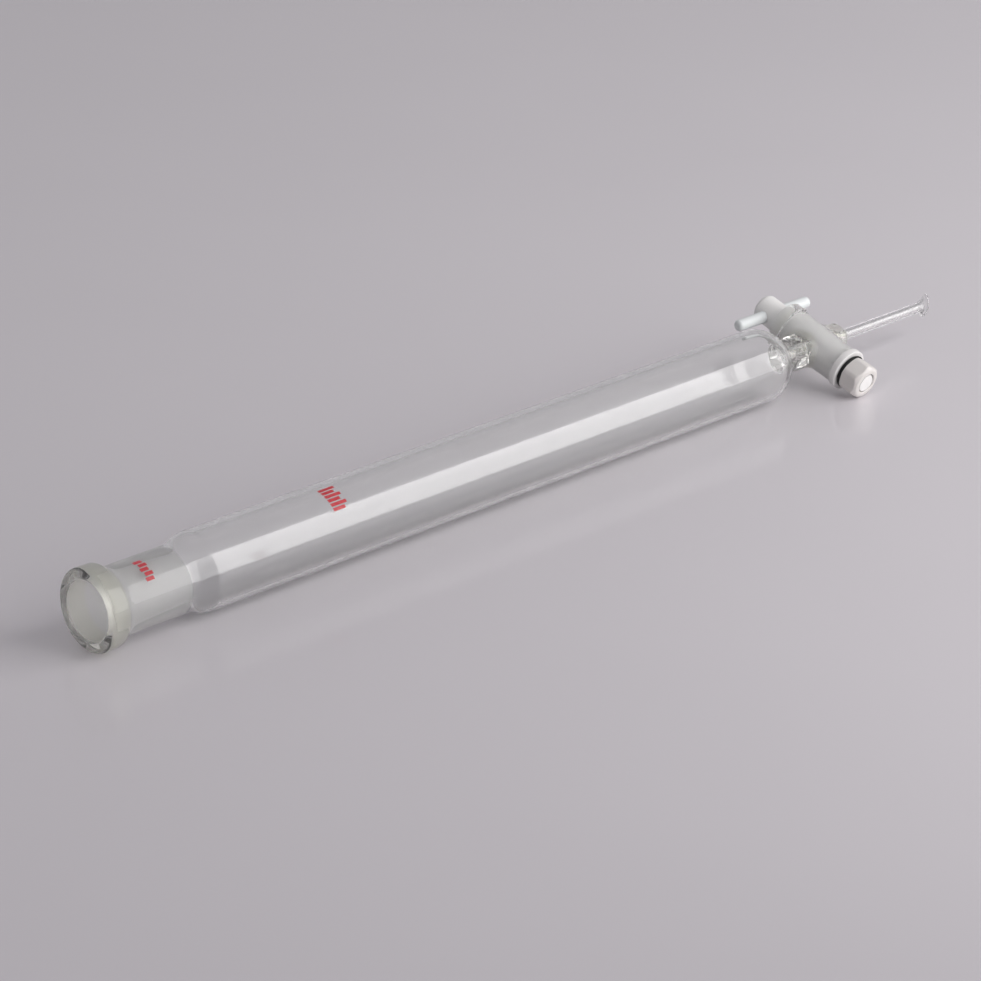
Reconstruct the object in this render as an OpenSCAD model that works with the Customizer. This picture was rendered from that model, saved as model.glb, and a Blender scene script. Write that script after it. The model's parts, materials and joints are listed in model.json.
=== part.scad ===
// Cylindrical dropping funnel with a ground socket, a straight barrel and a plug stopcock, lying on its side.
// The barrel's axis is the X axis, with the socket at the -X end and the origin halfway along.
// The stopcock leans so that the retaining nut, on the -Y side, comes down to the same bench as the rim.

/* [Socket] */
// Diameter of the ground taper at its wide end, mm
taper_d = 24; // [14:0.5:45]
// Length of the ground taper, which narrows by 1 in 10, mm
taper_length = 40; // [20:1:60]
// Outside diameter of the socket tube, mm
socket_od = 27; // [18:0.5:50]
// Outside diameter of the beaded rim, mm
rim_od = 33; // [20:0.5:60]
// Length of the beaded rim's full-width part, mm
rim_length = 7; // [3:0.5:15]

/* [Barrel] */
// Outside diameter of the barrel, mm
barrel_od = 32; // [20:0.5:60]
// Wall thickness of the barrel, mm
wall = 1.8; // [1:0.1:3]
// Length of the shoulder between socket and barrel, mm
shoulder_length = 12; // [6:0.5:25]
// Length of the straight part of the barrel, mm
straight_length = 306; // [80:1:500]
// Outside diameter of the neck under the domed end, mm
neck_od = 13; // [8:0.5:20]
// Outside diameter of the inlet arm where it meets the stopcock, mm
inlet_od = 15.6; // [8:0.1:20]
// Distance from the end of the straight part to the stopcock's axis, mm
stopcock_drop = 38; // [26:0.5:60]

/* [Stopcock] */
// Lean of the stopcock's axis from the level, degrees
lean = 17.5; // [0:0.5:30]
// Diameter of the liquid's way through the plug, mm
way_d = 4; // [2:0.5:6]
// Glass barrel: outside diameter at the handle end, mm
shell_od_wide = 18.4; // [12:0.2:26]
// Glass barrel: outside diameter at the nut end, mm
shell_od_narrow = 16.8; // [10:0.2:24]
// Glass barrel: reach towards the handle, mm
shell_back = 18.6; // [10:0.1:30]
// Glass barrel: reach towards the nut, mm
shell_front = 17.4; // [10:0.1:30]
// Outside diameter of the collar at the handle end, mm
collar_od = 20; // [14:0.2:30]
// Width of the collar, mm
collar_width = 6; // [2:0.2:10]
// Radius of the seat at the handle end, mm
seat_r = 7.1; // [3:0.1:10]
// Radial clearance between plug and seat, mm
seat_gap = 0.05; // [0.01:0.01:0.1]
// Diameter of the plug's head, mm
head_d = 12.6; // [8:0.2:18]
// Length of the plug's head, mm
head_length = 13.5; // [8:0.5:30]
// Diameter of the handle bar, mm
bar_d = 5.2; // [3:0.1:8]
// Length of the handle bar, mm
bar_length = 45; // [20:1:70]

/* [Seals and nut] */
// Radius of the plug's threaded end, mm
thread_r = 4.4; // [2:0.1:6]
// Outside diameter of the washer, mm
washer_od = 18.4; // [12:0.2:28]
// Thickness of the washer, mm
washer_t = 3; // [1:0.1:5]
// Thickness of the rubber ring, mm
ring_t = 1.8; // [1:0.1:4]
// Radius of the rubber ring's centre line, mm
ring_r = 6.7; // [4:0.1:12]
// Largest diameter of the nut, over its rounded corners, mm
nut_d = 15.6; // [10:0.02:26]
// Width of the nut over its flats, mm
nut_flats = 14.3; // [9:0.1:24]
// Length of the nut, mm
nut_length = 8.9; // [4:0.5:16]

/* [Drip stem] */
// Outside diameter of the outlet arm before it narrows to the stem, mm
outlet_od = 12; // [6:0.1:18]
// Outside diameter of the stem, mm
stem_od = 4.6; // [3:0.1:10]
// Inside diameter of the stem, mm
stem_id = 2.2; // [1:0.1:6]
// Length of the stem from the outlet arm to the lip, mm
stem_length = 54; // [20:1:150]
// Diameter of the drip lip, mm
lip_d = 9; // [5:0.1:16]
// Slant of the drip lip, degrees
lip_slant = 35; // [0:1:45]
// Direction of the slant, turned round the stem, degrees
lip_turn = -60; // [-180:1:180]

/* [Hidden] */
glass = [0.86, 0.9, 0.9, 0.35];
ptfe = [0.94, 0.94, 0.92];
moulding = [0.9, 0.89, 0.86];
rubber = [0.05, 0.05, 0.05];
enamel = [0.72, 0.1, 0.12];
$fn = 96;
lip_land = 0.5;                       // flat ring of the mouth before the ground taper
socket_end = taper_length + lip_land;
barrel_start = socket_end + shoulder_length;
barrel_end = barrel_start + straight_length;
cock_x = barrel_end + stopcock_drop;
barrel_r = barrel_od / 2;
bore_r = barrel_r - wall;
mouth_r = taper_d / 2 + 0.7;
taper_end_r = taper_d / 2 - taper_length / 20;
way_r = way_d / 2;
seal_x = cock_x - 16;                 // where the dome's neck meets the inlet arm
inlet_taper = 5;
outlet_reach = 11;                    // from the stopcock's middle to the outlet arm's narrowing
outlet_root_r = outlet_od / 2 + 2.2;
stem_x = cock_x + 17;                 // where the outlet arm meets the stem
lip_x = stem_x + stem_length;
lip_t = 1.2;
lip_neck = 1.2;                       // from the stem's end to the middle of the lip
total_length = lip_x + lip_neck + cos(lip_slant) * lip_t / 2 + sin(lip_slant) * lip_d / 2;
seat_slope = 0.05;                    // the seat narrows by 1 in 10 of its diameter
head_gap = 0.6;
washer_z = shell_front + 0.1;
ring_z = washer_z + washer_t;
nut_z = ring_z + ring_t;
thread_end = nut_z + nut_length - 0.8;
bar_z = -(shell_back + head_gap + head_length / 2);
size_mark_x = 20.4;                   // the prints' places from the mouth, their lengths and how far they vary
size_mark_w = 3.6;
size_mark_step = 0.7;
maker_mark_x = 110.2;
maker_mark_w = 7.6;
maker_mark_step = 1.8;

function seat_at(z) = seat_r - seat_slope * (z + shell_back);
function arc(cx, cy, r, a0, a1, n) = [for (i = [0:n]) let (a = a0 + (a1 - a0) * i / n) [cx + r * cos(a), cy + r * sin(a)]];

// Turns a shape drawn about Z so that Z becomes the barrel's axis, with z = 0 at the mouth.
module along_barrel() {
  translate([-total_length / 2, 0, 0]) rotate([0, 90, 0]) children();
}

// Puts a shape drawn about Z on the stopcock's axis, with +Z towards the nut.
module along_stopcock() {
  translate([cock_x - total_length / 2, 0, 0]) rotate([90 + lean, 0, 0]) children();
}

// Ground socket with a rounded bead at the mouth.
module socket() {
  color(glass) along_barrel() rotate_extrude()
    polygon(concat(
      [[taper_end_r, socket_end], [taper_d / 2, lip_land], [mouth_r, 0]],
      arc(rim_od / 2 - 1.3, 1.3, 1.3, -90, 0, 6),
      arc(rim_od / 2 - 2, rim_length - 0.6, 2, 0, 50, 6),
      [[socket_od / 2 + 0.5, rim_length + 3.4], [socket_od / 2, rim_length + 4.8], [socket_od / 2, socket_end]]));
}

// Glass drawn out from the socket's width to the barrel's.
module shoulder() {
  n = 8;
  color(glass) along_barrel() rotate_extrude()
    polygon(concat(
      [for (i = [0:n]) let (t = i / n, s = (1 - cos(180 * t)) / 2)
        [socket_od / 2 + (barrel_r - socket_od / 2) * s, socket_end + shoulder_length * t]],
      [for (i = [n:-1:0]) let (t = i / n, s = (1 - cos(180 * t)) / 2)
        [taper_end_r + (bore_r - taper_end_r) * s, socket_end + shoulder_length * t]]));
}

// Straight glass tube that holds the liquid.
module barrel() {
  color(glass) along_barrel() translate([0, 0, barrel_start]) difference() {
    cylinder(r = barrel_r, h = straight_length);
    translate([0, 0, -1]) cylinder(r = bore_r, h = straight_length + 2);
  }
}

// Half-round end of the barrel with the neck that leads to the stopcock.
module dome() {
  color(glass) along_barrel() translate([0, 0, barrel_end]) difference() {
    union() {
      intersection() {
        sphere(r = barrel_r);
        cylinder(r = barrel_r + 1, h = barrel_r + 1);
      }
      translate([0, 0, barrel_r - 3]) cylinder(r1 = neck_od / 2 + 1.2, r2 = neck_od / 2, h = 3);
      cylinder(r = neck_od / 2, h = seal_x - barrel_end);
    }
    sphere(r = bore_r);
    translate([0, 0, bore_r - 1.2]) cylinder(r1 = 5, r2 = way_r, h = 4);
    cylinder(r = way_r, h = 60);
  }
}

// Glass stopcock barrel with its collar, inlet arm and outlet arm.
module stopcock_shell() {
  color(glass) difference() {
    union() {
      along_stopcock() rotate_extrude() polygon(concat(
        [[0, -shell_back]],
        arc(collar_od / 2 - 1, -shell_back + 1, 1, -90, 0, 5),
        arc(collar_od / 2 - 1.4, -shell_back + collar_width - 1.4, 1.4, 0, 60, 5),
        [[shell_od_wide / 2, -shell_back + collar_width + 0.2], [shell_od_narrow / 2, shell_front - 0.5],
         [shell_od_narrow / 2 - 0.5, shell_front], [0, shell_front]]));
      along_barrel() translate([0, 0, seal_x]) cylinder(r1 = neck_od / 2, r2 = inlet_od / 2, h = inlet_taper);
      along_barrel() translate([0, 0, seal_x + inlet_taper])
        cylinder(r = inlet_od / 2, h = cock_x - seal_x - inlet_taper);
      along_barrel() translate([0, 0, cock_x]) cylinder(r1 = outlet_root_r, r2 = outlet_od / 2, h = outlet_reach);
      along_barrel() translate([0, 0, cock_x + outlet_reach])
        cylinder(r1 = outlet_od / 2, r2 = stem_od / 2, h = stem_x - cock_x - outlet_reach);
    }
    along_stopcock() translate([0, 0, -shell_back - 1])
      cylinder(r1 = seat_at(-shell_back - 1), r2 = seat_at(shell_front + 1), h = shell_back + shell_front + 2);
    along_barrel() translate([0, 0, seal_x - 1]) cylinder(r = way_r, h = cock_x - seal_x + 9);
    along_barrel() translate([0, 0, cock_x + 8 - 0.01]) cylinder(r1 = way_r, r2 = stem_id / 2, h = 5);
    along_barrel() translate([0, 0, cock_x + 8]) cylinder(r = stem_id / 2, h = 20);
  }
}

// Slender tube that the drops run down.
module stem() {
  color(glass) along_barrel() translate([0, 0, stem_x]) difference() {
    cylinder(r = stem_od / 2, h = stem_length);
    translate([0, 0, -1]) cylinder(r = stem_id / 2, h = stem_length + 2);
  }
}

// Small flared lip at the stem's end, ground on the slant.
module drip_lip() {
  color(glass) along_barrel() translate([0, 0, lip_x]) difference() {
    union() {
      cylinder(r1 = stem_od / 2, r2 = stem_od / 2 + 0.7, h = lip_neck);
      translate([0, 0, lip_neck]) rotate([0, -lip_slant, lip_turn]) translate([0, 0, -lip_t / 2])
        cylinder(r = lip_d / 2, h = lip_t);
    }
    translate([0, 0, -4]) cylinder(r = stem_id / 2, h = 10);
    translate([0, 0, -4]) cylinder(r = lip_d, h = 4);
  }
}

// A patch of print on a tube: length along the barrel, angle from the top, width round the tube.
module patch(r, x, length, angle, width) {
  color(enamel) intersection() {
    along_barrel() translate([0, 0, x]) difference() {
      cylinder(r = r + 0.1, h = length);
      translate([0, 0, -1]) cylinder(r = r, h = length + 2);
    }
    translate([-total_length / 2 + x + length / 2, 0, 0]) rotate([angle, 0, 0])
      translate([0, 0, r]) cube([length + 1, width, r], center = true);
  }
}

// Short plain bars printed round the socket tube.
module size_mark() {
  for (i = [0:4]) patch(socket_od / 2, size_mark_x + size_mark_step * (i % 2), size_mark_w, 10 + 9 * i, 1.5);
}

// A plain row of bars printed round the barrel.
module maker_mark() {
  for (i = [0:5]) patch(barrel_r, maker_mark_x, maker_mark_w - maker_mark_step * (i % 2), 10 + 7.2 * i, 1.4);
}

// Tapered plug with its head, its way for the liquid and its threaded end.
module plug() {
  color(ptfe) along_stopcock() difference() {
    union() {
      translate([0, 0, -shell_back - head_gap])
        cylinder(r1 = seat_at(-shell_back - head_gap) - seat_gap, r2 = seat_at(shell_front) - seat_gap,
                 h = shell_back + head_gap + shell_front);
      translate([0, 0, shell_front - 0.5]) cylinder(r = thread_r, h = thread_end - shell_front + 0.5);
      rotate_extrude() polygon(concat(
        [[0, -shell_back - head_gap]],
        [[head_d / 2, -shell_back - head_gap]],
        [for (i = [0:8]) let (a = 90 * i / 8)
          [head_d / 2 - 4 + 4 * cos(a), -shell_back - head_gap - head_length + 3 - 3 * sin(a)]],
        [[0, -shell_back - head_gap - head_length]]));
    }
    translate([-20, 0, 0]) rotate([0, 90, 0]) cylinder(r = way_r, h = 40);
    translate([-20, 0, bar_z]) rotate([0, 90, 0]) cylinder(r = bar_d / 2, h = 40);
  }
}

// Round bar through the plug's head, which points along the barrel when the way is open.
module handle_bar() {
  color(ptfe) along_stopcock() translate([0, 0, bar_z]) rotate([0, 90, 0]) rotate_extrude()
    polygon(concat(
      [[0, -bar_length / 2]],
      [for (i = [0:6]) let (a = 90 * i / 6) [bar_d / 2 - 1.6 + 1.6 * sin(a), -bar_length / 2 + 1.6 - 1.6 * cos(a)]],
      [for (i = [0:6]) let (a = 90 * i / 6) [bar_d / 2 - 1.6 + 1.6 * cos(a), bar_length / 2 - 1.6 + 1.6 * sin(a)]],
      [[0, bar_length / 2]]));
}

// Plastic washer against the end of the glass.
module washer() {
  color(ptfe) along_stopcock() translate([0, 0, washer_z]) difference() {
    cylinder(r = washer_od / 2, h = washer_t);
    translate([0, 0, -1]) cylinder(r = thread_r + 0.06, h = washer_t + 2);
  }
}

// Rubber ring that keeps the nut's pull springy.
module seal_ring() {
  color(rubber) along_stopcock() translate([0, 0, ring_z + ring_t / 2]) rotate_extrude()
    translate([ring_r, 0]) circle(r = ring_t / 2, $fn = 32);
}

// Retaining nut with rounded corners and bevelled ends.
module nut() {
  color(moulding) along_stopcock() translate([0, 0, nut_z]) difference() {
    intersection() {
      rotate_extrude() polygon([[0, 0], [nut_d / 2 - 0.5, 0], [nut_d / 2, 0.5], [nut_d / 2, nut_length - 1.3],
                                [nut_d / 2 - 1.3, nut_length], [0, nut_length]]);
      rotate([0, 0, 30]) cylinder(r = nut_flats / sqrt(3), h = nut_length, $fn = 6);
    }
    translate([0, 0, -1]) cylinder(r = thread_r + 0.06, h = nut_length + 2);
  }
}

socket();
shoulder();
barrel();
dome();
stopcock_shell();
stem();
drip_lip();
size_mark();
maker_mark();
plug();
handle_bar();
washer();
seal_ring();
nut();
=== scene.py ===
import json
import math
import bpy
import bmesh
import numpy as np
from mathutils import Matrix, Vector


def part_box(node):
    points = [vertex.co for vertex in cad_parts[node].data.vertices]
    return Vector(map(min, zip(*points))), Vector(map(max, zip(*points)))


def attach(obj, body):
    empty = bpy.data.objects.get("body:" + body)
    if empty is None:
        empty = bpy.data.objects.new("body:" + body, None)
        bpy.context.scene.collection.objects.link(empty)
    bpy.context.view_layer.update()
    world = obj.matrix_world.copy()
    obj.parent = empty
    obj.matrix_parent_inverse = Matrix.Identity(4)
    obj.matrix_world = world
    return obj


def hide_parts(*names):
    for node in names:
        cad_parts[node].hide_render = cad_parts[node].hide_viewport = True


# A dropping funnel of clear glass lying on a pale bench, with its stopcock, seals, nut and drip stem.
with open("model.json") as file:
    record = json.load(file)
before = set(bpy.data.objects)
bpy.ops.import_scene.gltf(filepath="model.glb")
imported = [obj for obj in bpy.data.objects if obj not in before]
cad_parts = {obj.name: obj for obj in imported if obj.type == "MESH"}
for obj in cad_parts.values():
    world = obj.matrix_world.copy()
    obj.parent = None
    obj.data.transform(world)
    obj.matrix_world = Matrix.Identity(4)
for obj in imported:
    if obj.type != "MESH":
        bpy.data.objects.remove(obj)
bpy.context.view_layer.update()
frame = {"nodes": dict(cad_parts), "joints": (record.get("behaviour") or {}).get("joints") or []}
print("frame loaded")

mm = 0.001
fullTurn = 2 * math.pi
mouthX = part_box("socket")[0].x                        # the mouth's flat ring
stopcock = next(j for j in frame["joints"] if j["name"] == "key_turn")
cockCentre = np.array(stopcock["pos_m"], float)       # where the stopcock's axis crosses the barrel's
cockAxis = np.array(stopcock["axis"], float)
cockAxis = cockAxis / np.linalg.norm(cockAxis)        # points to the nut
cockSide = np.array((1.0, 0.0, 0.0))                  # along the barrel
cockUp = np.cross(cockAxis, cockSide)
cockX = (cockCentre[0] - mouthX) / mm                 # distance of the stopcock from the mouth, mm
benchZ = min(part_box("socket")[0].z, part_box("nut")[0].z)


# A circular arc: centre (across, radius), its radius, start and end angle in degrees from +along towards
# +radius.
def arcPoints(along, out, radius, startAngle, endAngle, steps):
    a = np.radians(np.linspace(startAngle, endAngle, steps + 1))
    return np.stack([along + radius * np.cos(a), out + radius * np.sin(a)], 1)


# A smooth curve between two points: cubic in t, leaving and arriving along the given directions.
def bendPoints(start, end, leave, arrive, steps):
    t = np.linspace(0, 1, steps + 1)[:, None]
    start, end, leave, arrive = (np.array(v, float) for v in (start, end, leave, arrive))
    return ((2 * t**3 - 3 * t**2 + 1) * start + (t**3 - 2 * t**2 + t) * leave
            + (3 * t**2 - 2 * t**3) * end + (t**3 - t**2) * arrive)


# A straight run from one point to another.
def runPoints(start, end, steps):
    t = np.linspace(0, 1, steps + 1)[:, None]
    return np.array(start, float) * (1 - t) + np.array(end, float) * t


# Joins profile pieces into one list of (along, radius), leaving out points that repeat.
def joinProfile(*pieces):
    rows = np.concatenate([np.atleast_2d(np.array(p, float)) for p in pieces])
    step = np.abs(np.diff(rows, axis=0)).max(1)
    return rows[np.concatenate([[True], step > 1e-6])]


# A profile carried round an axis: point (i, j) is at the profile's distance along i, and on the circle of
# the profile's radius i at the angle j. Returns along, the two coordinates across, each rows by segments.
def roundGrid(profile, segments):
    angle = np.arange(segments) * fullTurn / segments
    along = np.repeat(profile[:, :1], segments, 1)
    return along, profile[:, 1:] * np.cos(angle), profile[:, 1:] * np.sin(angle)


# Millimetres from the mouth, and across, to the shared frame: x along the barrel, y and z across it.
def onBarrel(along, acrossY, acrossZ):
    return np.stack([mouthX + along * mm, acrossY * mm, acrossZ * mm], -1)


# Millimetres along the stopcock's axis towards the nut, and across it, to the shared frame.
def onStopcock(along, acrossSide, acrossUp):
    return (cockCentre + mm * (along[..., None] * cockAxis + acrossSide[..., None] * cockSide
                               + acrossUp[..., None] * cockUp))


# A grid of points as a mesh: four-sided faces between neighbours, with the last column joined to the
# first, and the last row to the first too for a ring, otherwise a fan of triangles to the middle of each
# end row.
def gridMesh(name, points, ring=False):
    rows, columns = points.shape[:2]
    index = np.arange(rows * columns).reshape(rows, columns)
    upper = np.roll(index, -1, 0) if ring else index[1:]
    lower = index if ring else index[:-1]
    quads = np.stack([lower, np.roll(lower, -1, 1), np.roll(upper, -1, 1), upper], -1).reshape(-1, 4)
    vertices = points.reshape(-1, 3)
    faces = quads.tolist()
    if not ring:
        for row in (0, -1):
            pole = len(vertices)
            vertices = np.concatenate([vertices, points[row].mean(0)[None]])
            fan = np.stack([index[row], np.roll(index[row], -1), np.full(columns, pole)], 1)
            faces += fan.tolist()
    mesh = bpy.data.meshes.new(name)
    mesh.from_pydata(vertices.tolist(), [], faces)
    tidyMesh(mesh)
    piece = bpy.data.objects.new(name, mesh)
    bpy.context.scene.collection.objects.link(piece)
    return piece


# Merges points that coincide and turns every face outwards.
def tidyMesh(mesh, gap=2e-7):
    work = bmesh.new()
    work.from_mesh(mesh)
    bmesh.ops.remove_doubles(work, verts=work.verts, dist=gap)
    bmesh.ops.dissolve_degenerate(work, edges=work.edges, dist=gap)
    bmesh.ops.recalc_face_normals(work, faces=work.faces)
    work.to_mesh(mesh)
    work.free()


# Adds or cuts one closed solid with another and keeps the result as a plain mesh.
def combine(base, tool, operation):
    step = base.modifiers.new("combine", "BOOLEAN")
    step.operation = operation
    step.solver = "EXACT"
    step.object = tool
    view = bpy.context.evaluated_depsgraph_get()
    result = bpy.data.meshes.new_from_object(base.evaluated_get(view))
    base.modifiers.clear()
    base.data = result
    bpy.data.objects.remove(tool)
    return base


# Smooth shading everywhere but on edges sharper than the angle.
def shadeSmooth(piece, angle):
    piece.data.polygons.foreach_set("use_smooth", np.ones(len(piece.data.polygons), bool))
    piece.data.set_sharp_from_angle(angle=math.radians(angle))


def newMaterial(name):
    material = bpy.data.materials.new(name)
    material.use_nodes = True
    tree = material.node_tree
    return material, tree.nodes, tree.links, tree.nodes["Principled BSDF"]


# Object coordinates turned so that Z runs along the stopcock, centred on it.
def cockCoordinates(nodes, links):
    coordinates = nodes.new("ShaderNodeTexCoord")
    turn = nodes.new("ShaderNodeMapping")
    turn.vector_type = "TEXTURE"
    turn.inputs["Location"].default_value = cockCentre
    basis = Matrix((cockSide, cockUp, cockAxis)).transposed()
    turn.inputs["Rotation"].default_value = basis.to_euler("XYZ")
    links.new(coordinates.outputs["Object"], turn.inputs["Vector"])
    return turn.outputs["Vector"]


def mathNode(nodes, links, kind, first, second):
    node = nodes.new("ShaderNodeMath")
    node.operation = kind
    links.new(first, node.inputs[0])
    links.new(second, node.inputs[1])
    return node.outputs[0]


# values gives the noise's scale in features per metre, its detail and its roughness.
def noiseNode(nodes, links, vector, values):
    scale, detail, roughness = values
    node = nodes.new("ShaderNodeTexNoise")
    node.inputs["Scale"].default_value = scale
    node.inputs["Detail"].default_value = detail
    node.inputs["Roughness"].default_value = roughness
    links.new(vector, node.inputs["Vector"])
    return node.outputs["Fac"]


# values gives the bump's strength and its height in metres.
def bumpNode(nodes, links, height, values, below=None):
    strength, distance = values
    node = nodes.new("ShaderNodeBump")
    node.inputs["Strength"].default_value = strength
    node.inputs["Distance"].default_value = distance
    links.new(height, node.inputs["Height"])
    if below is not None:
        links.new(below, node.inputs["Normal"])
    return node.outputs["Normal"]


def mixColour(nodes, links, factor, first, second):
    node = nodes.new("ShaderNodeMix")
    node.data_type = "RGBA"
    links.new(factor, node.inputs["Factor"])
    node.inputs["A"].default_value = (*first, 1)
    node.inputs["B"].default_value = (*second, 1)
    return node.outputs["Result"]


# Maps low..high to newLow..newHigh, held at the ends.
def rangeNode(nodes, links, value, low, high, newLow=0.0, newHigh=1.0, smooth=False):
    node = nodes.new("ShaderNodeMapRange")
    node.interpolation_type = "SMOOTHSTEP" if smooth else "LINEAR"
    node.inputs["From Min"].default_value = low
    node.inputs["From Max"].default_value = high
    node.inputs["To Min"].default_value = newLow
    node.inputs["To Max"].default_value = newHigh
    links.new(value, node.inputs["Value"])
    return node.outputs["Result"]


clearGlass = {
    "name": "clearGlass", "first": (1.0, 1.0, 1.0), "second": (0.985, 0.992, 0.985), "ior": 1.47,
    "clear": 0.97, "cloud": (60.0, 3.0, 0.6), "cloudRange": (0.35, 0.75), "roughness": (0.0, 0.015),
    "thick": (0.94, 0.945, 0.875), "thickRim": (7.0, 10.0), "weldStart": (8.9, 10.4),
    "weldEnd": (15.0, 21.0), "waveStretch": (1.0, 3.0, 3.0), "wave": (9.0, 2.0, 0.4),
    "waveBump": (0.4, 0.00003), "worked": (210.0, 2.0, 0.5), "workedBump": (1.0, 0.0007),
    "sand": (5000.0, 2.0, 0.6), "sandBump": None,
}
groundGlass = dict(
    clearGlass, name="groundGlass", first=(0.99, 0.99, 0.975), second=(0.96, 0.965, 0.945), clear=0.6,
    roughness=(0.5, 0.62), workedBump=None, sandBump=(0.4, 0.00001))


# A mask that is 1 on the glass worked at the stopcock: outside the shell, and within a distance of its
# centre.
def weldMask(nodes, links, coordinates, values):
    flat = nodes.new("ShaderNodeVectorMath")
    flat.operation = "MULTIPLY"
    links.new(cockCoordinates(nodes, links), flat.inputs[0])
    flat.inputs[1].default_value = (1, 1, 0)
    fromAxis = nodes.new("ShaderNodeVectorMath")
    fromAxis.operation = "LENGTH"
    links.new(flat.outputs["Vector"], fromAxis.inputs[0])
    fromCock = nodes.new("ShaderNodeVectorMath")
    fromCock.operation = "DISTANCE"
    links.new(coordinates, fromCock.inputs[0])
    fromCock.inputs[1].default_value = cockCentre
    shellEdge, weldEdge = values["weldStart"]
    near, far = values["weldEnd"]
    rising = rangeNode(nodes, links, fromAxis.outputs["Value"], shellEdge * mm, weldEdge * mm, 0.0, 1.0, True)
    falling = rangeNode(nodes, links, fromCock.outputs["Value"], near * mm, far * mm, 1.0, 0.0, True)
    return mathNode(nodes, links, "MULTIPLY", rising, falling)


# Borosilicate glass: faint draw lines along the tube, a yellow-green tint where the glass is thick, at
# the rim and at the welds, and an uneven surface on the welds. The ground kind is frosted: rough, with a
# fine grain and part of its light scattered by the surface.
def makeGlass(values):
    material, nodes, links, shader = newMaterial(values["name"])
    shader.inputs["Transmission Weight"].default_value = values["clear"]
    shader.inputs["IOR"].default_value = values["ior"]
    coordinates = nodes.new("ShaderNodeTexCoord").outputs["Object"]
    cloud = noiseNode(nodes, links, coordinates, values["cloud"])
    parts = nodes.new("ShaderNodeSeparateXYZ")
    links.new(coordinates, parts.inputs[0])
    near, far = values["thickRim"]
    atRim = rangeNode(nodes, links, parts.outputs["X"], mouthX + near * mm, mouthX + far * mm, 1.0, 0.0, True)
    atWeld = weldMask(nodes, links, coordinates, values)
    tinted = nodes.new("ShaderNodeMix")
    tinted.data_type = "RGBA"
    links.new(mathNode(nodes, links, "MAXIMUM", atRim, atWeld), tinted.inputs["Factor"])
    links.new(mixColour(nodes, links, cloud, values["first"], values["second"]), tinted.inputs["A"])
    tinted.inputs["B"].default_value = (*values["thick"], 1)
    links.new(tinted.outputs["Result"], shader.inputs["Base Color"])
    roughness = rangeNode(nodes, links, cloud, *values["cloudRange"], *values["roughness"])
    links.new(roughness, shader.inputs["Roughness"])
    stretch = nodes.new("ShaderNodeMapping")
    stretch.inputs["Scale"].default_value = values["waveStretch"]
    links.new(coordinates, stretch.inputs["Vector"])
    waves = noiseNode(nodes, links, stretch.outputs["Vector"], values["wave"])
    finish = bumpNode(nodes, links, waves, values["waveBump"])
    if values["workedBump"]:
        lumps = noiseNode(nodes, links, coordinates, values["worked"])
        worked = mathNode(nodes, links, "MULTIPLY", lumps, atWeld)
        finish = bumpNode(nodes, links, worked, values["workedBump"], finish)
    if values["sandBump"]:
        sand = noiseNode(nodes, links, coordinates, values["sand"])
        finish = bumpNode(nodes, links, sand, values["sandBump"], finish)
    links.new(finish, shader.inputs["Normal"])
    return material


ptfeLook = {
    "name": "ptfe", "light": (0.84, 0.835, 0.82), "shade": (0.79, 0.785, 0.77),
    "cloud": (160.0, 3.0, 0.6), "ior": 1.38, "subsurface": 0.25, "scatter": (0.002, 0.002, 0.002),
    "lineScale": 520.0, "lineBend": 1.5, "lineBump": (0.15, 0.00004), "fine": (1500.0, 2.0, 0.5),
    "fineRange": (0.2, 0.8), "roughness": (0.35, 0.48), "fineBump": (0.15, 0.00004),
}
handleLook = dict(ptfeLook, name="handlePtfe", light=(0.75, 0.78, 0.78), shade=(0.70, 0.73, 0.73))
# The seated part of the plug: the same plastic made brighter, painted light for the light that reaches it
# through the glass shell.
seatLitLook = dict(ptfeLook, name="seatLitPtfe", light=(0.955, 0.95, 0.93), shade=(0.93, 0.925, 0.905))
washerLook = dict(ptfeLook, name="washerPtfe", light=(0.78, 0.77, 0.76), shade=(0.71, 0.70, 0.69))


# White fluoropolymer: waxy, with fine turned lines round the stopcock's axis and a little clouding.
def makePtfe(values):
    material, nodes, links, shader = newMaterial(values["name"])
    vector = cockCoordinates(nodes, links)
    cloud = noiseNode(nodes, links, vector, values["cloud"])
    links.new(mixColour(nodes, links, cloud, values["light"], values["shade"]), shader.inputs["Base Color"])
    shader.inputs["Subsurface Weight"].default_value = values["subsurface"]
    shader.inputs["Subsurface Radius"].default_value = values["scatter"]
    shader.inputs["Subsurface Scale"].default_value = 1.0
    shader.inputs["IOR"].default_value = values["ior"]
    lines = nodes.new("ShaderNodeTexWave")
    lines.bands_direction = "Z"
    lines.inputs["Scale"].default_value = values["lineScale"]
    lines.inputs["Distortion"].default_value = values["lineBend"]
    links.new(vector, lines.inputs["Vector"])
    fine = noiseNode(nodes, links, vector, values["fine"])
    roughness = rangeNode(nodes, links, fine, *values["fineRange"], *values["roughness"])
    links.new(roughness, shader.inputs["Roughness"])
    turned = bumpNode(nodes, links, lines.outputs["Fac"], values["lineBump"])
    links.new(bumpNode(nodes, links, fine, values["fineBump"], turned), shader.inputs["Normal"])
    return material


mouldingLook = {
    "light": (0.70, 0.675, 0.655), "shade": (0.63, 0.605, 0.585), "flow": (220.0, 4.0, 0.6),
    "flowRange": (0.3, 0.7), "roughness": (0.36, 0.5), "subsurface": 0.12,
    "scatter": (0.0016, 0.0015, 0.0012), "grain": (2600.0, 2.0, 0.5), "grainBump": (0.2, 0.00003),
}


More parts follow.
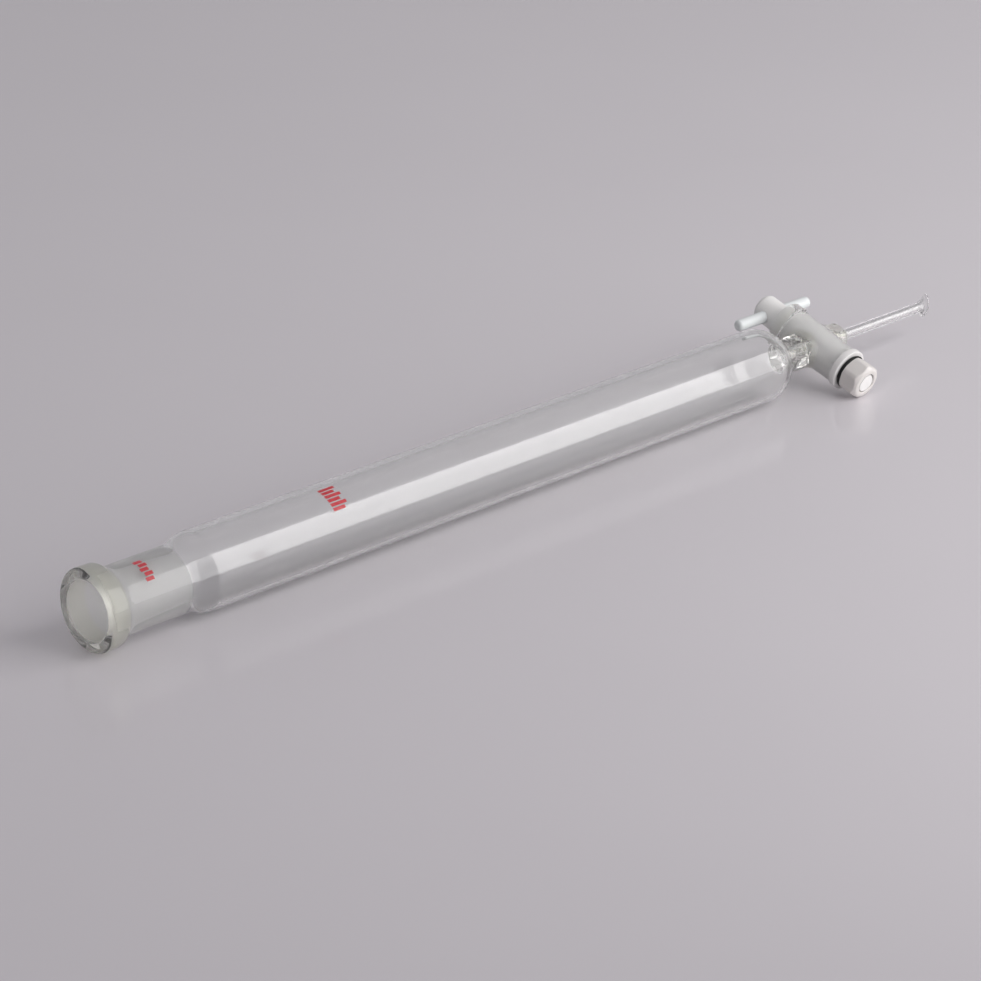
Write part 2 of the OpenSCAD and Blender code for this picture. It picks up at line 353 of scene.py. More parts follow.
# Off-white moulded plastic: faint flow marks in the colour and a satin grain.
def makeMoulding(values):
    material, nodes, links, shader = newMaterial("moulding")
    vector = cockCoordinates(nodes, links)
    flow = noiseNode(nodes, links, vector, values["flow"])
    links.new(mixColour(nodes, links, flow, values["light"], values["shade"]), shader.inputs["Base Color"])
    shader.inputs["Subsurface Weight"].default_value = values["subsurface"]
    shader.inputs["Subsurface Radius"].default_value = values["scatter"]
    shader.inputs["Subsurface Scale"].default_value = 1.0
    roughness = rangeNode(nodes, links, flow, *values["flowRange"], *values["roughness"])
    links.new(roughness, shader.inputs["Roughness"])
    grain = noiseNode(nodes, links, vector, values["grain"])
    links.new(bumpNode(nodes, links, grain, values["grainBump"]), shader.inputs["Normal"])
    return material


rubberLook = {
    "light": (0.010, 0.010, 0.011), "shade": (0.004, 0.004, 0.0045), "bloom": (700.0, 4.0, 0.65),
    "bloomRange": (0.3, 0.7), "roughness": (0.47, 0.67), "bloomBump": (0.3, 0.00004), "gloss": 0.25,
}


# Black rubber: matte, with a powdery bloom that lightens it in spots.
def makeRubber(values):
    material, nodes, links, shader = newMaterial("rubber")
    vector = cockCoordinates(nodes, links)
    shader.inputs["Specular IOR Level"].default_value = values["gloss"]
    bloom = noiseNode(nodes, links, vector, values["bloom"])
    links.new(mixColour(nodes, links, bloom, values["shade"], values["light"]), shader.inputs["Base Color"])
    roughness = rangeNode(nodes, links, bloom, *values["bloomRange"], *values["roughness"])
    links.new(roughness, shader.inputs["Roughness"])
    links.new(bumpNode(nodes, links, bloom, values["bloomBump"]), shader.inputs["Normal"])
    return material


enamelLook = {
    "strong": (0.55, 0.035, 0.05), "worn": (0.62, 0.12, 0.12), "wear": (1400.0, 3.0, 0.6),
    "wornRange": (0.45, 0.75), "wearRange": (0.3, 0.7), "roughness": (0.27, 0.5),
    "wearBump": (0.2, 0.00003),
}


# Red fired print: a little thinner and paler in spots.
def makeEnamel(values):
    material, nodes, links, shader = newMaterial("enamel")
    coordinates = nodes.new("ShaderNodeTexCoord").outputs["Object"]
    wear = noiseNode(nodes, links, coordinates, values["wear"])
    worn = rangeNode(nodes, links, wear, *values["wornRange"])
    links.new(mixColour(nodes, links, worn, values["strong"], values["worn"]), shader.inputs["Base Color"])
    roughness = rangeNode(nodes, links, wear, *values["wearRange"], *values["roughness"])
    links.new(roughness, shader.inputs["Roughness"])
    links.new(bumpNode(nodes, links, wear, values["wearBump"]), shader.inputs["Normal"])
    return material


benchLook = {
    "light": (0.75, 0.72, 0.75), "shade": (0.72, 0.69, 0.72), "cloud": (6.0, 3.0, 0.5),
    "grain": (900.0, 3.0, 0.6), "grainRange": (0.3, 0.7), "roughness": (0.36, 0.44),
    "grainBump": (0.05, 0.00003), "coat": 0.6, "coatRoughness": 0.1,
}


# Pale laminate bench: faint clouding, a very fine grain and a soft gloss.
def makeBench(values):
    material, nodes, links, shader = newMaterial("bench")
    coordinates = nodes.new("ShaderNodeTexCoord").outputs["Object"]
    cloud = noiseNode(nodes, links, coordinates, values["cloud"])
    links.new(mixColour(nodes, links, cloud, values["light"], values["shade"]), shader.inputs["Base Color"])
    grain = noiseNode(nodes, links, coordinates, values["grain"])
    roughness = rangeNode(nodes, links, grain, *values["grainRange"], *values["roughness"])
    links.new(roughness, shader.inputs["Roughness"])
    links.new(bumpNode(nodes, links, grain, values["grainBump"]), shader.inputs["Normal"])
    shader.inputs["Coat Weight"].default_value = values["coat"]
    shader.inputs["Coat Roughness"].default_value = values["coatRoughness"]
    return material


glassMaterial = makeGlass(clearGlass)
groundMaterial = makeGlass(groundGlass)
ptfeMaterial = makePtfe(ptfeLook)
handleMaterial = makePtfe(handleLook)
seatLitMaterial = makePtfe(seatLitLook)
washerMaterial = makePtfe(washerLook)
mouldingMaterial = makeMoulding(mouldingLook)
rubberMaterial = makeRubber(rubberLook)
enamelMaterial = makeEnamel(enamelLook)
benchMaterial = makeBench(benchLook)
print("materials made")


# Lengths in mm from the mouth, or from the stopcock's axis for the outlet, the stem and the way.
vesselSizes = {
    "segments": 128, "mouthRadius": 12.7, "mouthFlare": ((-3, 0.8), (-0.6, 0.25)), "taperRadius": 12.0,
    "taperEndRadius": 10.0, "taperStart": 0.5, "rimRadius": 16.5, "rimEdge": 1.3, "rimBack": 6.4,
    "rimBackEdge": 2.0, "rimBackAngle": 50, "rimSweep": 4.2, "capRadius": 4, "tubeStart": 12.2,
    "tubeRadius": 13.5, "socketEnd": 40.5, "barrelStart": 52.5, "barrelEnd": 358.5, "barrelRadius": 16.0,
    "boreRadius": 14.2, "neckRadius": 6.5, "neckFillet": 2.6, "neckLength": 17, "inletBack": 14.5,
    "inletRadius": 7.6, "inletFlare": (0.9, 3.8, 4.5), "wayRadius": 2.0, "wayFillet": 3.0, "wayOverlap": 3,
}
stemSizes = {
    "segments": 64, "outletRadius": 6.5, "outletFlare": (1.6, 4.4, 3.2), "outletStart": 12.6,
    "outletEnd": 19.5, "stemRadius": 2.3, "stemEnd": 71.0, "lipBack": 2.0, "lipFront": 1.6,
    "lipRadius": 4.5, "lipEdge": 0.35, "lipEdgeBack": 0.4, "lipSweepBack": 0.75, "lipLeave": (2.6, 0),
    "lipArrive": (0.2, 3.2), "capRadius": 0.6, "lipSlant": 35, "lipTurn": 60, "lipReach": 3.0,
    "bore": 1.1, "wayEnd": 9, "boreStart": 14, "bellBack": 1.8, "bellLeave": (2.4, 0),
    "bellArrive": (0.5, 2.6), "bellRadius": 3.9, "bellPast": (1.5, 3.0),
}
shellSizes = {
    "back": -18.6, "front": 17.4, "collarRadius": 10.0, "collarEnd": -12.6, "collarEdge": 1.0,
    "collarBackEdge": 1.4, "collarFoot": (0.4, 0.8), "wideRadius": 9.2, "narrowRadius": 8.4,
    "frontEdge": 0.7, "capRadius": 3, "seatRadius": 7.1, "seatSlope": 0.05, "seatMouth": 0.7,
    "seatStep": (0.2, 0.9, 0.6), "seatPast": 1,
}


# The shell's outside radius at a distance along its axis: a straight cone between the collar and the front.
def shellRadius(along):
    s = shellSizes
    part = (along - s["collarEnd"]) / (s["front"] - s["collarEnd"])
    return s["wideRadius"] + (s["narrowRadius"] - s["wideRadius"]) * part


# How far the shell's surface is from the stopcock's axis, measured along the barrel, at a point across
# the barrel: the square root of the shell's radius squared less the sideways offset squared.
def shellReach(acrossY, acrossZ):
    along = acrossY * cockAxis[1] + acrossZ * cockAxis[2]
    offset = acrossY * cockUp[1] + acrossZ * cockUp[2]
    return np.sqrt(np.maximum(shellRadius(along) ** 2 - offset**2, 0.01))


# A tube's end flared onto the shell: the radius grows by one less the cosine of a quarter turn, more
# along the shell's axis than beside it, while the tube closes on the shell's surface by one less its
# sine, so the weld is a rounded fillet all the way round. direction is -1 for the inlet and +1 for the
# outlet.
def flareRows(radius, flare, direction, segments, steps=9):
    beside, lengthways, reach = flare
    turn = np.linspace(0, math.pi / 2, steps)[:, None]
    angle = np.arange(segments) * fullTurn / segments
    lengthPart = (np.cos(angle) * cockAxis[1] + np.sin(angle) * cockAxis[2]) ** 2
    growth = beside + (lengthways - beside) * lengthPart
    rho = radius + growth * (1 - np.cos(turn))
    y, z = rho * np.cos(angle), rho * np.sin(angle)
    along = cockX + direction * (shellReach(y, z) + reach * (1 - np.sin(turn)))
    inside = cockX + direction * (shellReach(y[-1:], z[-1:]) - 0.6)
    return (np.concatenate([along, inside]), np.concatenate([y, y[-1:]]), np.concatenate([z, z[-1:]]))


def stackGrids(*grids):
    return tuple(np.concatenate(part) for part in zip(*grids))


# A dome with a filleted neck: a quarter circle from the tube's radius, then a hollow arc that touches
# both the dome and the neck. The arc's centre is at the neck's radius plus its own, and at the dome's
# radius plus its own from the dome's centre.
def domeProfile(centre, radius, neck, fillet, steps):
    offset = math.sqrt((radius + fillet) ** 2 - (neck + fillet) ** 2)
    touch = math.degrees(math.asin((neck + fillet) / (radius + fillet)))
    return joinProfile(arcPoints(centre, 0, radius, 90, touch, steps),
                       arcPoints(centre + offset, neck + fillet, fillet, 180 + touch, 270, steps // 2))


# The shoulder between two tube sizes: half a cosine wave.
def shoulderProfile(start, end, startRadius, endRadius, steps=18):
    t = np.linspace(0, 1, steps + 1)
    return np.stack([start + (end - start) * t,
                     startRadius + (endRadius - startRadius) * (1 - np.cos(math.pi * t)) / 2], 1)


# Gives the ground taper's faces the frosted glass: those between its two ends that are nearer to the axis
# than its wide end.
def frostSocket(mesh):
    v = vesselSizes
    middles = np.empty(len(mesh.polygons) * 3)
    mesh.polygons.foreach_get("center", middles)
    x, y, z = middles.reshape(-1, 3).T / mm
    x = x - mouthX / mm
    ground = (x > v["taperStart"]) & (x < v["socketEnd"]) & (np.hypot(y, z) < v["taperRadius"] + 0.05)
    mesh.polygons.foreach_set("material_index", ground.astype(np.int32))


# The outside of the glass from the mouth to the inlet: beaded rim, tube, shoulder, barrel, dome and neck.
def outsideProfile():
    v = vesselSizes
    backAngle = math.radians(v["rimBackAngle"])
    backX = v["rimBack"] + v["rimBackEdge"] * math.sin(backAngle)
    backRadius = v["rimRadius"] - v["rimBackEdge"] * (1 - math.cos(backAngle))
    slope = v["rimSweep"] * np.array((math.cos(backAngle), -math.sin(backAngle)))
    return joinProfile(
        runPoints((0, v["capRadius"]), (0, v["rimRadius"] - v["rimEdge"]), 4),
        arcPoints(v["rimEdge"], v["rimRadius"] - v["rimEdge"], v["rimEdge"], 180, 90, 8),
        runPoints((v["rimEdge"], v["rimRadius"]), (v["rimBack"], v["rimRadius"]), 3),
        arcPoints(v["rimBack"], v["rimRadius"] - v["rimBackEdge"], v["rimBackEdge"],
                  90, 90 - v["rimBackAngle"], 6),
        bendPoints((backX, backRadius), (v["tubeStart"], v["tubeRadius"]), slope, (v["rimSweep"], 0), 10),
        runPoints((v["tubeStart"], v["tubeRadius"]), (v["socketEnd"], v["tubeRadius"]), 12),
        shoulderProfile(v["socketEnd"], v["barrelStart"], v["tubeRadius"], v["barrelRadius"]),
        runPoints((v["barrelStart"], v["barrelRadius"]), (v["barrelEnd"], v["barrelRadius"]), 60),
        domeProfile(v["barrelEnd"], v["barrelRadius"], v["neckRadius"], v["neckFillet"], 22),
        shoulderProfile(v["barrelEnd"] + v["neckLength"], cockX - v["inletBack"], v["neckRadius"],
                        v["inletRadius"], 8))


# The inside of the glass: a flared mouth, the ground taper, shoulder, bore and dome, and the way to the
# seat.
def insideProfile():
    v = vesselSizes
    flare = [(along, v["mouthRadius"] + growth) for along, growth in v["mouthFlare"]]
    return joinProfile(
        flare, (0, v["mouthRadius"]),
        bendPoints((0, v["mouthRadius"]), (v["taperStart"], v["taperRadius"]), (0.1, -0.7), (0.5, -0.03), 4),
        runPoints((v["taperStart"], v["taperRadius"]), (v["socketEnd"], v["taperEndRadius"]), 14),
        shoulderProfile(v["socketEnd"], v["barrelStart"], v["taperEndRadius"], v["boreRadius"]),
        runPoints((v["barrelStart"], v["boreRadius"]), (v["barrelEnd"], v["boreRadius"]), 60),
        domeProfile(v["barrelEnd"], v["boreRadius"], v["wayRadius"], v["wayFillet"], 20),
        (cockX - v["wayOverlap"], v["wayRadius"]))


# The outside of the stopcock's shell, along its own axis: rounded collar, cone and front edge.
def shellProfile():
    s = shellSizes
    footStart, footEnd = s["collarFoot"]
    coneStart = s["collarEnd"] + footEnd
    coneEnd = s["front"] - s["frontEdge"]
    return joinProfile(
        (s["back"], s["capRadius"]),
        arcPoints(s["back"] + s["collarEdge"], s["collarRadius"] - s["collarEdge"], s["collarEdge"],
                  180, 90, 6),
        arcPoints(s["collarEnd"] - s["collarBackEdge"], s["collarRadius"] - s["collarBackEdge"],
                  s["collarBackEdge"], 90, 25, 6),
        (s["collarEnd"] + footStart, s["wideRadius"]),
        runPoints((coneStart, shellRadius(coneStart)), (coneEnd, shellRadius(coneEnd)), 24),
        arcPoints(coneEnd, s["narrowRadius"] - s["frontEdge"], s["frontEdge"], 90, 0, 5),
        (s["front"], s["capRadius"]))


# The seat's radius at a distance along the stopcock: a straight cone that narrows towards the nut.
def seatRadius(along):
    s = shellSizes
    return s["seatRadius"] - s["seatSlope"] * (along - s["back"])


# The seat, which opens a little wider inside the collar.
def seatProfile():
    s = shellSizes
    step, stepLength, stepPart = s["seatStep"]
    mouth = s["collarEnd"] + step
    end = s["front"] + s["seatPast"]
    return joinProfile(
        (s["back"] - s["seatPast"], s["seatRadius"] + s["seatMouth"]),
        (mouth - stepLength, s["seatRadius"] + s["seatMouth"] * stepPart),
        runPoints((mouth, seatRadius(mouth)), (end, seatRadius(end)), 12))


# Leans the stem's end: points move along the stem by their height over a turned line times the slant's
# tangent, eased in from nothing where the lip begins by three times the square less twice the cube.
def slantLip(along, y, z):
    t = stemSizes
    turn = math.radians(t["lipTurn"])
    height = y * math.sin(turn) + z * math.cos(turn)
    lipStart = cockX + t["stemEnd"] - t["lipBack"]
    part = np.clip((along - lipStart) / t["lipReach"], 0, 1)
    return along + height * math.tan(math.radians(t["lipSlant"])) * part**2 * (3 - 2 * part)


# The outlet, the stem and its lip: the lip's back opens like a trumpet to a thin rounded edge.
def stemGrid():
    t = stemSizes
    start, end = cockX + t["outletEnd"], cockX + t["stemEnd"]
    front = end + t["lipFront"]
    stem = joinProfile(
        shoulderProfile(cockX + t["outletStart"], start, t["outletRadius"], t["stemRadius"]),
        runPoints((start, t["stemRadius"]), (end - t["lipBack"], t["stemRadius"]), 24),
        bendPoints((end - t["lipBack"], t["stemRadius"]), (front - t["lipSweepBack"], t["lipRadius"]),
                   t["lipLeave"], t["lipArrive"], 12),
        arcPoints(front - t["lipEdgeBack"], t["lipRadius"] - t["lipEdge"], t["lipEdge"], 100, 0, 6),
        (front, t["capRadius"]))
    along, y, z = roundGrid(stem, t["segments"])
    flare = tuple(part[::-1] for part in flareRows(t["outletRadius"], t["outletFlare"], 1, t["segments"]))
    return stackGrids(flare, (slantLip(along, y, z), y, z))


# The way from the seat through the outlet and the stem, opening to a bell in the lip.
def wayGrid():
    v, t = vesselSizes, stemSizes
    end = cockX + t["stemEnd"]
    front = end + t["lipFront"]
    past, growth = t["bellPast"]
    way = joinProfile(
        runPoints((cockX + v["wayOverlap"], v["wayRadius"]), (cockX + t["wayEnd"], v["wayRadius"]), 3),
        shoulderProfile(cockX + t["wayEnd"], cockX + t["boreStart"], v["wayRadius"], t["bore"], 8),
        runPoints((cockX + t["boreStart"], t["bore"]), (end - t["bellBack"], t["bore"]), 20),
        bendPoints((end - t["bellBack"], t["bore"]), (front, t["bellRadius"]),
                   t["bellLeave"], t["bellArrive"], 12),
        (front + past, t["bellRadius"] + growth))
    along, y, z = roundGrid(way, t["segments"])
    return slantLip(along, y, z), y, z


# The whole glass: the outside shapes joined to one solid, less its bore, its seat and its way.
def makeVessel():
    v = vesselSizes
    segments = v["segments"]
    inlet = flareRows(v["inletRadius"], v["inletFlare"], -1, segments)
    body = gridMesh("glassVessel", onBarrel(*stackGrids(roundGrid(outsideProfile(), segments), inlet)))
    combine(body, gridMesh("shellOutside", onStopcock(*roundGrid(shellProfile(), segments))), "UNION")
    combine(body, gridMesh("stemOutside", onBarrel(*stemGrid())), "UNION")
    combine(body, gridMesh("boreCutter", onBarrel(*roundGrid(insideProfile(), segments))), "DIFFERENCE")
    combine(body, gridMesh("seatCutter", onStopcock(*roundGrid(seatProfile(), segments))), "DIFFERENCE")
    combine(body, gridMesh("wayCutter", onBarrel(*wayGrid())), "DIFFERENCE")
    tidyMesh(body.data)
    shadeSmooth(body, 34)
    body.data.materials.clear()
    body.data.materials.append(glassMaterial)
    body.data.materials.append(groundMaterial)
    frostSocket(body.data)
    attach(body, "vessel")
    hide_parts("socket", "shoulder", "barrel", "dome", "stopcock_shell", "stem", "drip_lip")
    return body


glassVessel = makeVessel()
print("glass vessel made:", len(glassVessel.data.polygons), "faces")


plugSizes = {
    "segments": 96, "back": -19.2, "headLength": 13.5, "headRadius": 6.3, "headEdge": 0.5,
    "headEndEdge": 3.6, "headDome": 2.6, "capRadius": (0.8, 0.6), "shoulder": (0.15, 0.35),
    "coneStart": (0.45, 0.5), "tailEnd": 17.4, "tailEdge": 0.4, "grip": 0.03, "threadRadius": 4.4,
    "threadEnd": 31.1, "threadRoot": 0.1, "threadTip": (0.6, 0.7), "threadPitch": 1.5,
    "threadDepth": 0.45, "threadRun": (0.4, 0.2), "threadShape": (1.35, 0.15), "wayRadius": 2.0,
    "wayHalf": 9,
}


# Gives the plug's faces between the shell's two ends a brighter copy of the plastic: painted light, standing
# in for the light that reaches the seated plug through the glass shell.
def paintSeatLight(mesh):
    middles = np.empty(len(mesh.polygons) * 3)
    mesh.polygons.foreach_get("center", middles)
    along = (middles.reshape(-1, 3) - np.array(cockCentre)) @ np.array(cockAxis) / mm
    seated = (along > shellSizes["back"]) & (along < shellSizes["front"])
    mesh.polygons.foreach_set("material_index", seated.astype(np.int32))


# The plug's radius where it is pressed into the seat.
def pressedRadius(along):
    return seatRadius(along) + plugSizes["grip"]


# The plug's outline: a head whose end is domed by a quarter wave, a cone that presses a few hundredths
# into its seat, as soft plastic does, and the tail that takes the thread.
def plugProfile():
    p = plugSizes
    headEnd = p["back"] - p["headLength"]
    turn = np.linspace(0, math.pi / 2, 9)
    dome = np.stack([headEnd + p["headDome"] * (1 - np.sin(turn)),
                     p["headRadius"] - p["headEndEdge"] * (1 - np.cos(turn))], 1)[::-1]
    shoulderBack, shoulderDrop = p["shoulder"]
    coneEdge, coneStart = p["back"] + p["coneStart"][0], p["back"] + p["coneStart"][1]
    coneEnd = p["tailEnd"] - p["tailEdge"]
    tipLength, tipDrop = p["threadTip"]
    return joinProfile(
        (headEnd, p["capRadius"][0]), (headEnd, p["headRadius"] - p["headEndEdge"]), dome,
        runPoints((headEnd + p["headDome"], p["headRadius"]),
                  (p["back"] - p["headEdge"], p["headRadius"]), 12),
        arcPoints(p["back"] - p["headEdge"], p["headRadius"] - p["headEdge"], p["headEdge"], 90, 20, 4),
        (p["back"] + shoulderBack, pressedRadius(p["back"]) - shoulderDrop),
        (coneEdge, pressedRadius(coneEdge)),
        runPoints((coneStart, pressedRadius(coneStart)), (coneEnd, pressedRadius(coneEnd)), 36),
        (p["tailEnd"], p["threadRadius"] + p["threadRoot"]),
        runPoints((p["tailEnd"] + p["threadRoot"], p["threadRadius"]),
                  (p["threadEnd"] - tipLength, p["threadRadius"]), 110),
        (p["threadEnd"], p["threadRadius"] - tipDrop), (p["threadEnd"], p["capRadius"][1]))


# The plug, whose tail's radius dips with the part of a turn left over from the distance along it divided
# by the pitch, with the way cut through it.
def makePlug():
    p = plugSizes
    runBack, runFront = p["threadRun"]
    steep, floor = p["threadShape"]
    along, u, w = roundGrid(plugProfile(), p["segments"])
    angle = np.arange(p["segments"]) * fullTurn / p["segments"]
    phase = (along / p["threadPitch"] - angle / fullTurn) % 1.0
    onThread = (along > p["tailEnd"] + runBack) & (along < p["threadEnd"] - runFront)
    dip = p["threadDepth"] * np.clip(steep * np.abs(2 * phase - 1) - floor, 0, 1) * onThread
    shrink = 1 - dip / np.maximum(np.hypot(u, w), 0.1)
    plug = gridMesh("plugPtfe", onStopcock(along, u * shrink, w * shrink))
    way = runPoints((cockX - p["wayHalf"], p["wayRadius"]), (cockX + p["wayHalf"], p["wayRadius"]), 6)
    combine(plug, gridMesh("plugWay", onBarrel(*roundGrid(way, 48))), "DIFFERENCE")
    tidyMesh(plug.data)
    shadeSmooth(plug, 38)
    plug.data.materials.clear()
    plug.data.materials.append(ptfeMaterial)
    # The second material is the brighter copy, painted light for the part seen through the glass shell.
    plug.data.materials.append(seatLitMaterial)
    paintSeatLight(plug.data)
    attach(plug, "plug")
    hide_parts("plug")


handleSizes = {
    "radius": 2.6, "length": 45.0, "edge": 1.5, "place": -25.95, "crown": 0.08, "capRadius": 0.5,
    "segments": 64,
}


# The handle bar: a rod whose radius swells slightly to its middle, with rounded ends.
def makeHandle():
    h = handleSizes
    half = h["length"] / 2
    rod = joinProfile(
        (-half, h["capRadius"]),
        arcPoints(-half + h["edge"], h["radius"] - h["edge"] - h["crown"], h["edge"], 180, 90, 7),
        runPoints((-half + h["edge"], h["radius"] - h["crown"]),
                  (half - h["edge"], h["radius"] - h["crown"]), 40),
        arcPoints(half - h["edge"], h["radius"] - h["edge"] - h["crown"], h["edge"], 90, 0, 7),
        (half, h["capRadius"]))
    along, a, b = roundGrid(rod, h["segments"])
    swell = 1 + h["crown"] / h["radius"] * (1 - (along / half) ** 2)
    points = (cockCentre + mm * (along[..., None] * cockSide + (a * swell)[..., None] * cockUp
                                 + (h["place"] + b * swell)[..., None] * cockAxis))
    handle = gridMesh("handleBar", points)
    shadeSmooth(handle, 40)
    handle.data.materials.append(handleMaterial)
    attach(handle, "plug")
    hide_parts("handle_bar")


makePlug()
makeHandle()
print("plug and handle made")


washerSizes = {"outer": 9.2, "inner": 4.46, "start": 17.5, "thickness": 3.0, "edge": 0.35, "segments": 96}


# The washer: a flat ring's section with chamfered corners, carried round.
def makeWasher():
    w = washerSizes
    end, outer, edge = w["start"] + w["thickness"], w["outer"], w["edge"]
    section = np.concatenate([
        runPoints((w["start"], w["inner"] + edge), (w["start"], outer - edge), 5),
        arcPoints(w["start"] + edge, outer - edge, edge, 170, 90, 4),
        arcPoints(end - edge, outer - edge, edge, 90, 10, 4),
        runPoints((end, outer - edge), (end, w["inner"] + edge), 5),
        runPoints((end - edge, w["inner"]), (w["start"] + edge, w["inner"]), 2)])
    washer = gridMesh("washer", onStopcock(*roundGrid(joinProfile(section), w["segments"])), ring=True)
    shadeSmooth(washer, 40)
    washer.data.materials.append(washerMaterial)
    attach(washer, "seals")
    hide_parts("washer")


ringSizes = {
    "centre": 6.7, "radius": 0.9, "start": 20.5, "squash": 0.99, "flash": 0.05, "flashWidth": 0.09,
    "around": 36, "segments": 96,
}


# The rubber ring: a circle carried round, with a faint moulding line where the angle round it is zero,
# which falls off as the exponential of minus the square of half that angle's sine over the line's width.
def makeRing():
    r = ringSizes
    turn = np.arange(r["around"]) * fullTurn / r["around"]
    size = r["radius"] + r["flash"] * np.exp(-(np.sin(turn / 2) / r["flashWidth"]) ** 2)
    section = np.stack([r["start"] + r["radius"] + r["squash"] * size * np.sin(turn),
                        r["centre"] + size * np.cos(turn)], 1)
    ring = gridMesh("sealRing", onStopcock(*roundGrid(section, r["segments"])), ring=True)
    shadeSmooth(ring, 50)
    ring.data.materials.append(rubberMaterial)
    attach(ring, "seals")
    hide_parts("seal_ring")


nutSizes = {
    "start": 22.3, "length": 8.9, "round": 7.8, "flats": 14.3, "bevel": 1.3, "bevelBack": 0.4,
    "bevelTip": 0.15, "bevelDrop": 0.1, "bevelLeave": (0.9, 0), "bevelArrive": (0.5, -0.5),
    "faceDrop": (1.6, 0.5), "edge": 0.5, "bore": 4.46, "boreEdge": (0.25, 0.55), "boreRun": 0.6,
    "threadPitch": 1.5, "threadDepth": 0.4, "threadRun": 0.7, "threadShape": (1.2, 1.5), "segments": 144,
    "blend": 26.0,
}


# The nut's section: its outside as a circle with bevelled ends, then its bore.
def nutProfiles():
    n = nutSizes
    start, end = n["start"], n["start"] + n["length"]
    bevelStart = end - n["bevel"] - n["bevelBack"]
    outside = joinProfile(
        (start, n["round"] - n["faceDrop"][0]),
        arcPoints(start + n["edge"], n["round"] - n["edge"], n["edge"], 180, 90, 5),
        runPoints((start + n["edge"], n["round"]), (bevelStart, n["round"]), 8),
        bendPoints((bevelStart, n["round"]), (end - n["bevelTip"], n["round"] - n["bevel"] - n["bevelDrop"]),
                   n["bevelLeave"], n["bevelArrive"], 6),
        (end, n["round"] - n["bevel"] - n["faceDrop"][1]))
    frontEdge, backEdge = n["boreEdge"]
    bore = joinProfile(
        (end, n["bore"] + frontEdge), (end - frontEdge, n["bore"]),
        runPoints((end - n["boreRun"], n["bore"]), (start + n["boreRun"], n["bore"]), 70),
        (start, n["bore"] + backEdge))
    return outside, bore


# The nut: at each angle the outside is the softened least of the circle and the six flats, whose distance
# is half the width over flats divided by the cosine of the angle from the nearest flat. The softened
# least of two numbers is minus the logarithm of the sum of their exponentials, each made negative and
# scaled by the blend.
def makeNut():
    n = nutSizes
    end = n["start"] + n["length"]
    outside, bore = nutProfiles()
    profile = np.concatenate([outside, bore])
    angle = np.arange(n["segments"]) * fullTurn / n["segments"]
    toFlat = (angle + fullTurn / 12) % (fullTurn / 6) - fullTurn / 12
    flat = n["flats"] / 2 / np.cos(toFlat)
    radius = np.repeat(profile[:, 1:], n["segments"], 1)
    along = np.repeat(profile[:, :1], n["segments"], 1)
    isOutside = (np.arange(len(profile)) < len(outside))[:, None]
    softest = -np.log(np.exp(-n["blend"] * radius) + np.exp(-n["blend"] * flat)) / n["blend"]
    phase = (along / n["threadPitch"] - angle / fullTurn) % 1.0
    inThread = (~isOutside) & (along < end - n["threadRun"]) & (along > n["start"] + n["threadRun"])
    crest, steep = n["threadShape"]
    groove = n["threadDepth"] * np.clip(crest - steep * np.abs(2 * phase - 1), 0, 1) * inThread
    radius = np.where(isOutside, softest, radius + groove)
    section = onStopcock(along, radius * np.cos(angle), radius * np.sin(angle))
    nut = gridMesh("retainingNut", section, ring=True)
    shadeSmooth(nut, 36)
    nut.data.materials.append(mouldingMaterial)
    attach(nut, "nut")
    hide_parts("nut")


makeWasher()
makeRing()
makeNut()
print("washer, ring and nut made")

for markName in ("size_mark", "maker_mark"):
    mark = frame["nodes"][markName]
    mark.data.materials.clear()
    mark.data.materials.append(enamelMaterial)
print("print marks coloured")


benchSizes = {"half": 3.0, "points": 9}


# The bench top: a flat square grid at the height that the glass lies on.
def makeBenchTop():
    half, count = benchSizes["half"], benchSizes["points"]
    side = np.linspace(-half, half, count)
    x, y = np.meshgrid(side, side, indexing="ij")
    points = np.stack([x, y, np.full_like(x, benchZ)], -1)
    index = np.arange(count * count).reshape(count, count)
    faces = np.stack([index[:-1, :-1], index[1:, :-1], index[1:, 1:], index[:-1, 1:]], -1).reshape(-1, 4)
    mesh = bpy.data.meshes.new("benchTop")
    mesh.from_pydata(points.reshape(-1, 3).tolist(), [], faces.tolist())
    bench = bpy.data.objects.new("benchTop", mesh)
    bpy.context.scene.collection.objects.link(bench)
    mesh.materials.append(benchMaterial)


lightSet = {
    "panel": {"at": (1.05, -0.75, 0.65), "aim": (1.05, 0.0, 0.65), "width": 2.1, "height": 1.32,
              "power": 25.0, "colour": (1.0, 0.985, 0.98)},
    "fill": {"at": (-1.3, -0.9, 1.0), "aim": (-0.35, -0.15, 0.0), "width": 0.8, "height": 0.8, "power": 2.0,
             "colour": (1.0, 0.99, 0.99)},
}
worldSet = {
    "low": (0.66, 0.64, 0.66), "high": (0.42, 0.41, 0.43), "horizon": (-0.02, 0.5), "strength": 0.77,
}


# A soft rectangular light that faces its aim and that the camera doesn't see.
def makeLight(name, values):
    lamp = bpy.data.lights.new(name, "AREA")
    lamp.shape = "RECTANGLE"
    lamp.size = values["width"]
    lamp.size_y = values["height"]
    lamp.energy = values["power"]
    lamp.color = values["colour"]
    light = bpy.data.objects.new(name, lamp)
    light.visible_camera = False
    towards = Vector(values["aim"]) - Vector(values["at"])
    facing = towards.to_track_quat("-Z", "Y").to_matrix().to_4x4()
    light.matrix_world = Matrix.Translation(values["at"]) @ facing
    bpy.context.scene.collection.objects.link(light)


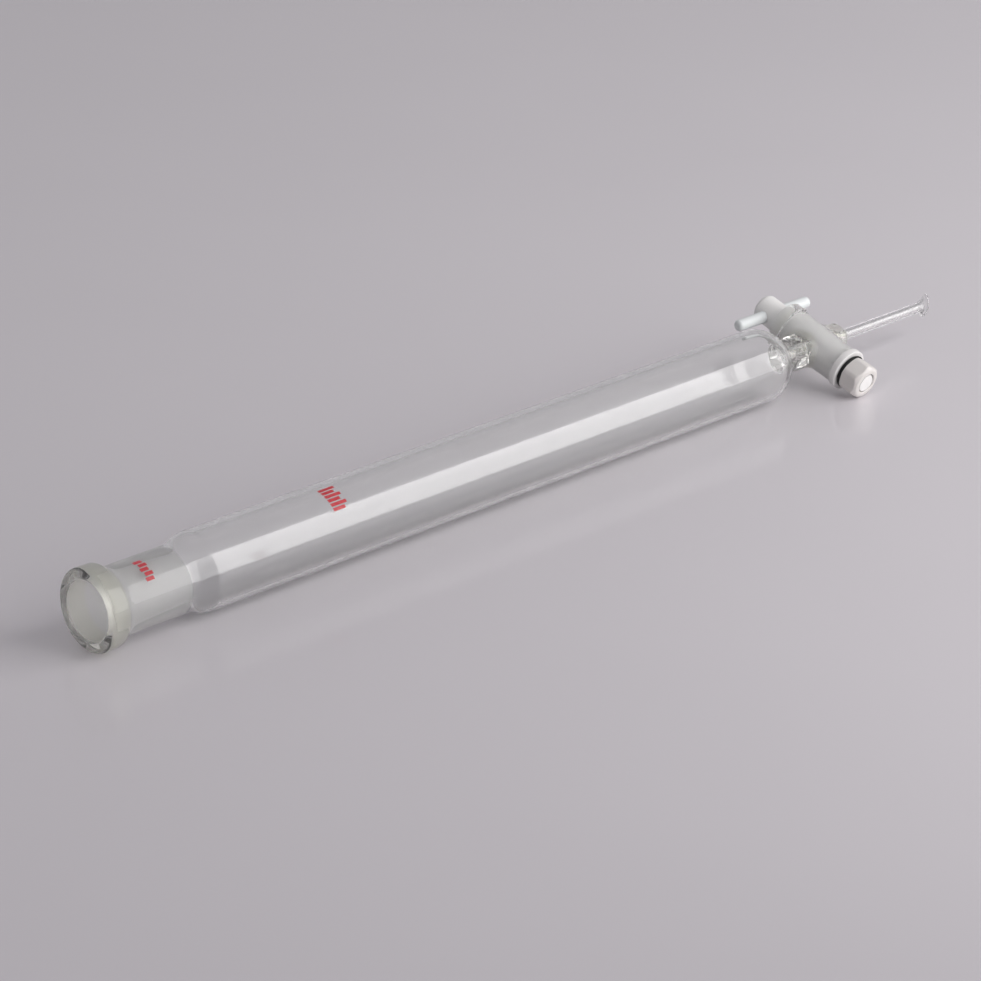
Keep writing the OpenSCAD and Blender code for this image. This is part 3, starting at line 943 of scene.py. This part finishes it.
# The room: pale near the level and dimmer overhead.
def makeWorld(values):
    world = bpy.data.worlds.new("room")
    world.use_nodes = True
    nodes, links = world.node_tree.nodes, world.node_tree.links
    direction = nodes.new("ShaderNodeTexCoord")
    parts = nodes.new("ShaderNodeSeparateXYZ")
    links.new(direction.outputs["Generated"], parts.inputs[0])
    height = rangeNode(nodes, links, parts.outputs["Z"], *values["horizon"])
    colour = mixColour(nodes, links, height, values["low"], values["high"])
    links.new(colour, nodes["Background"].inputs["Color"])
    nodes["Background"].inputs["Strength"].default_value = values["strength"]
    bpy.context.scene.world = world


cameraSet = {
    "aim": (-0.11828, -0.08947, 0.04051), "turn": 43.86, "rise": 22.75, "distance": 1.40374, "lens": 141.73,
    "sensor": 36.0, "clip": (0.05, 30.0),
}


# The camera looks at the aim from the given distance, turned from -Y towards -X and raised above the level.
def makeCamera(values):
    turn, rise = math.radians(values["turn"]), math.radians(values["rise"])
    right = Vector((math.cos(turn), -math.sin(turn), 0))
    back = Vector((-math.sin(turn) * math.cos(rise), -math.cos(turn) * math.cos(rise), math.sin(rise)))
    up = back.cross(right)
    place = Vector(values["aim"]) + values["distance"] * back
    data = bpy.data.cameras.new("camera")
    data.lens = values["lens"]
    data.sensor_width = values["sensor"]
    data.clip_start, data.clip_end = values["clip"]
    camera = bpy.data.objects.new("camera", data)
    camera.matrix_world = Matrix.Translation(place) @ Matrix((right, up, back)).transposed().to_4x4()
    bpy.context.scene.collection.objects.link(camera)
    bpy.context.scene.camera = camera


# Thick glass passes light along itself, so rays are let go on further than usual.
bounceSet = {"max_bounces": 32, "transmission_bounces": 32, "glossy_bounces": 12, "diffuse_bounces": 4}
for bounceName, bounceCount in bounceSet.items():
    setattr(bpy.context.scene.cycles, bounceName, bounceCount)
makeBenchTop()
for lightName, lightValues in lightSet.items():
    makeLight(lightName, lightValues)
makeWorld(worldSet)
makeCamera(cameraSet)
bpy.context.scene.view_settings.view_transform = "Standard"
print("bench, light and camera made")

bpy.context.view_layer.update()
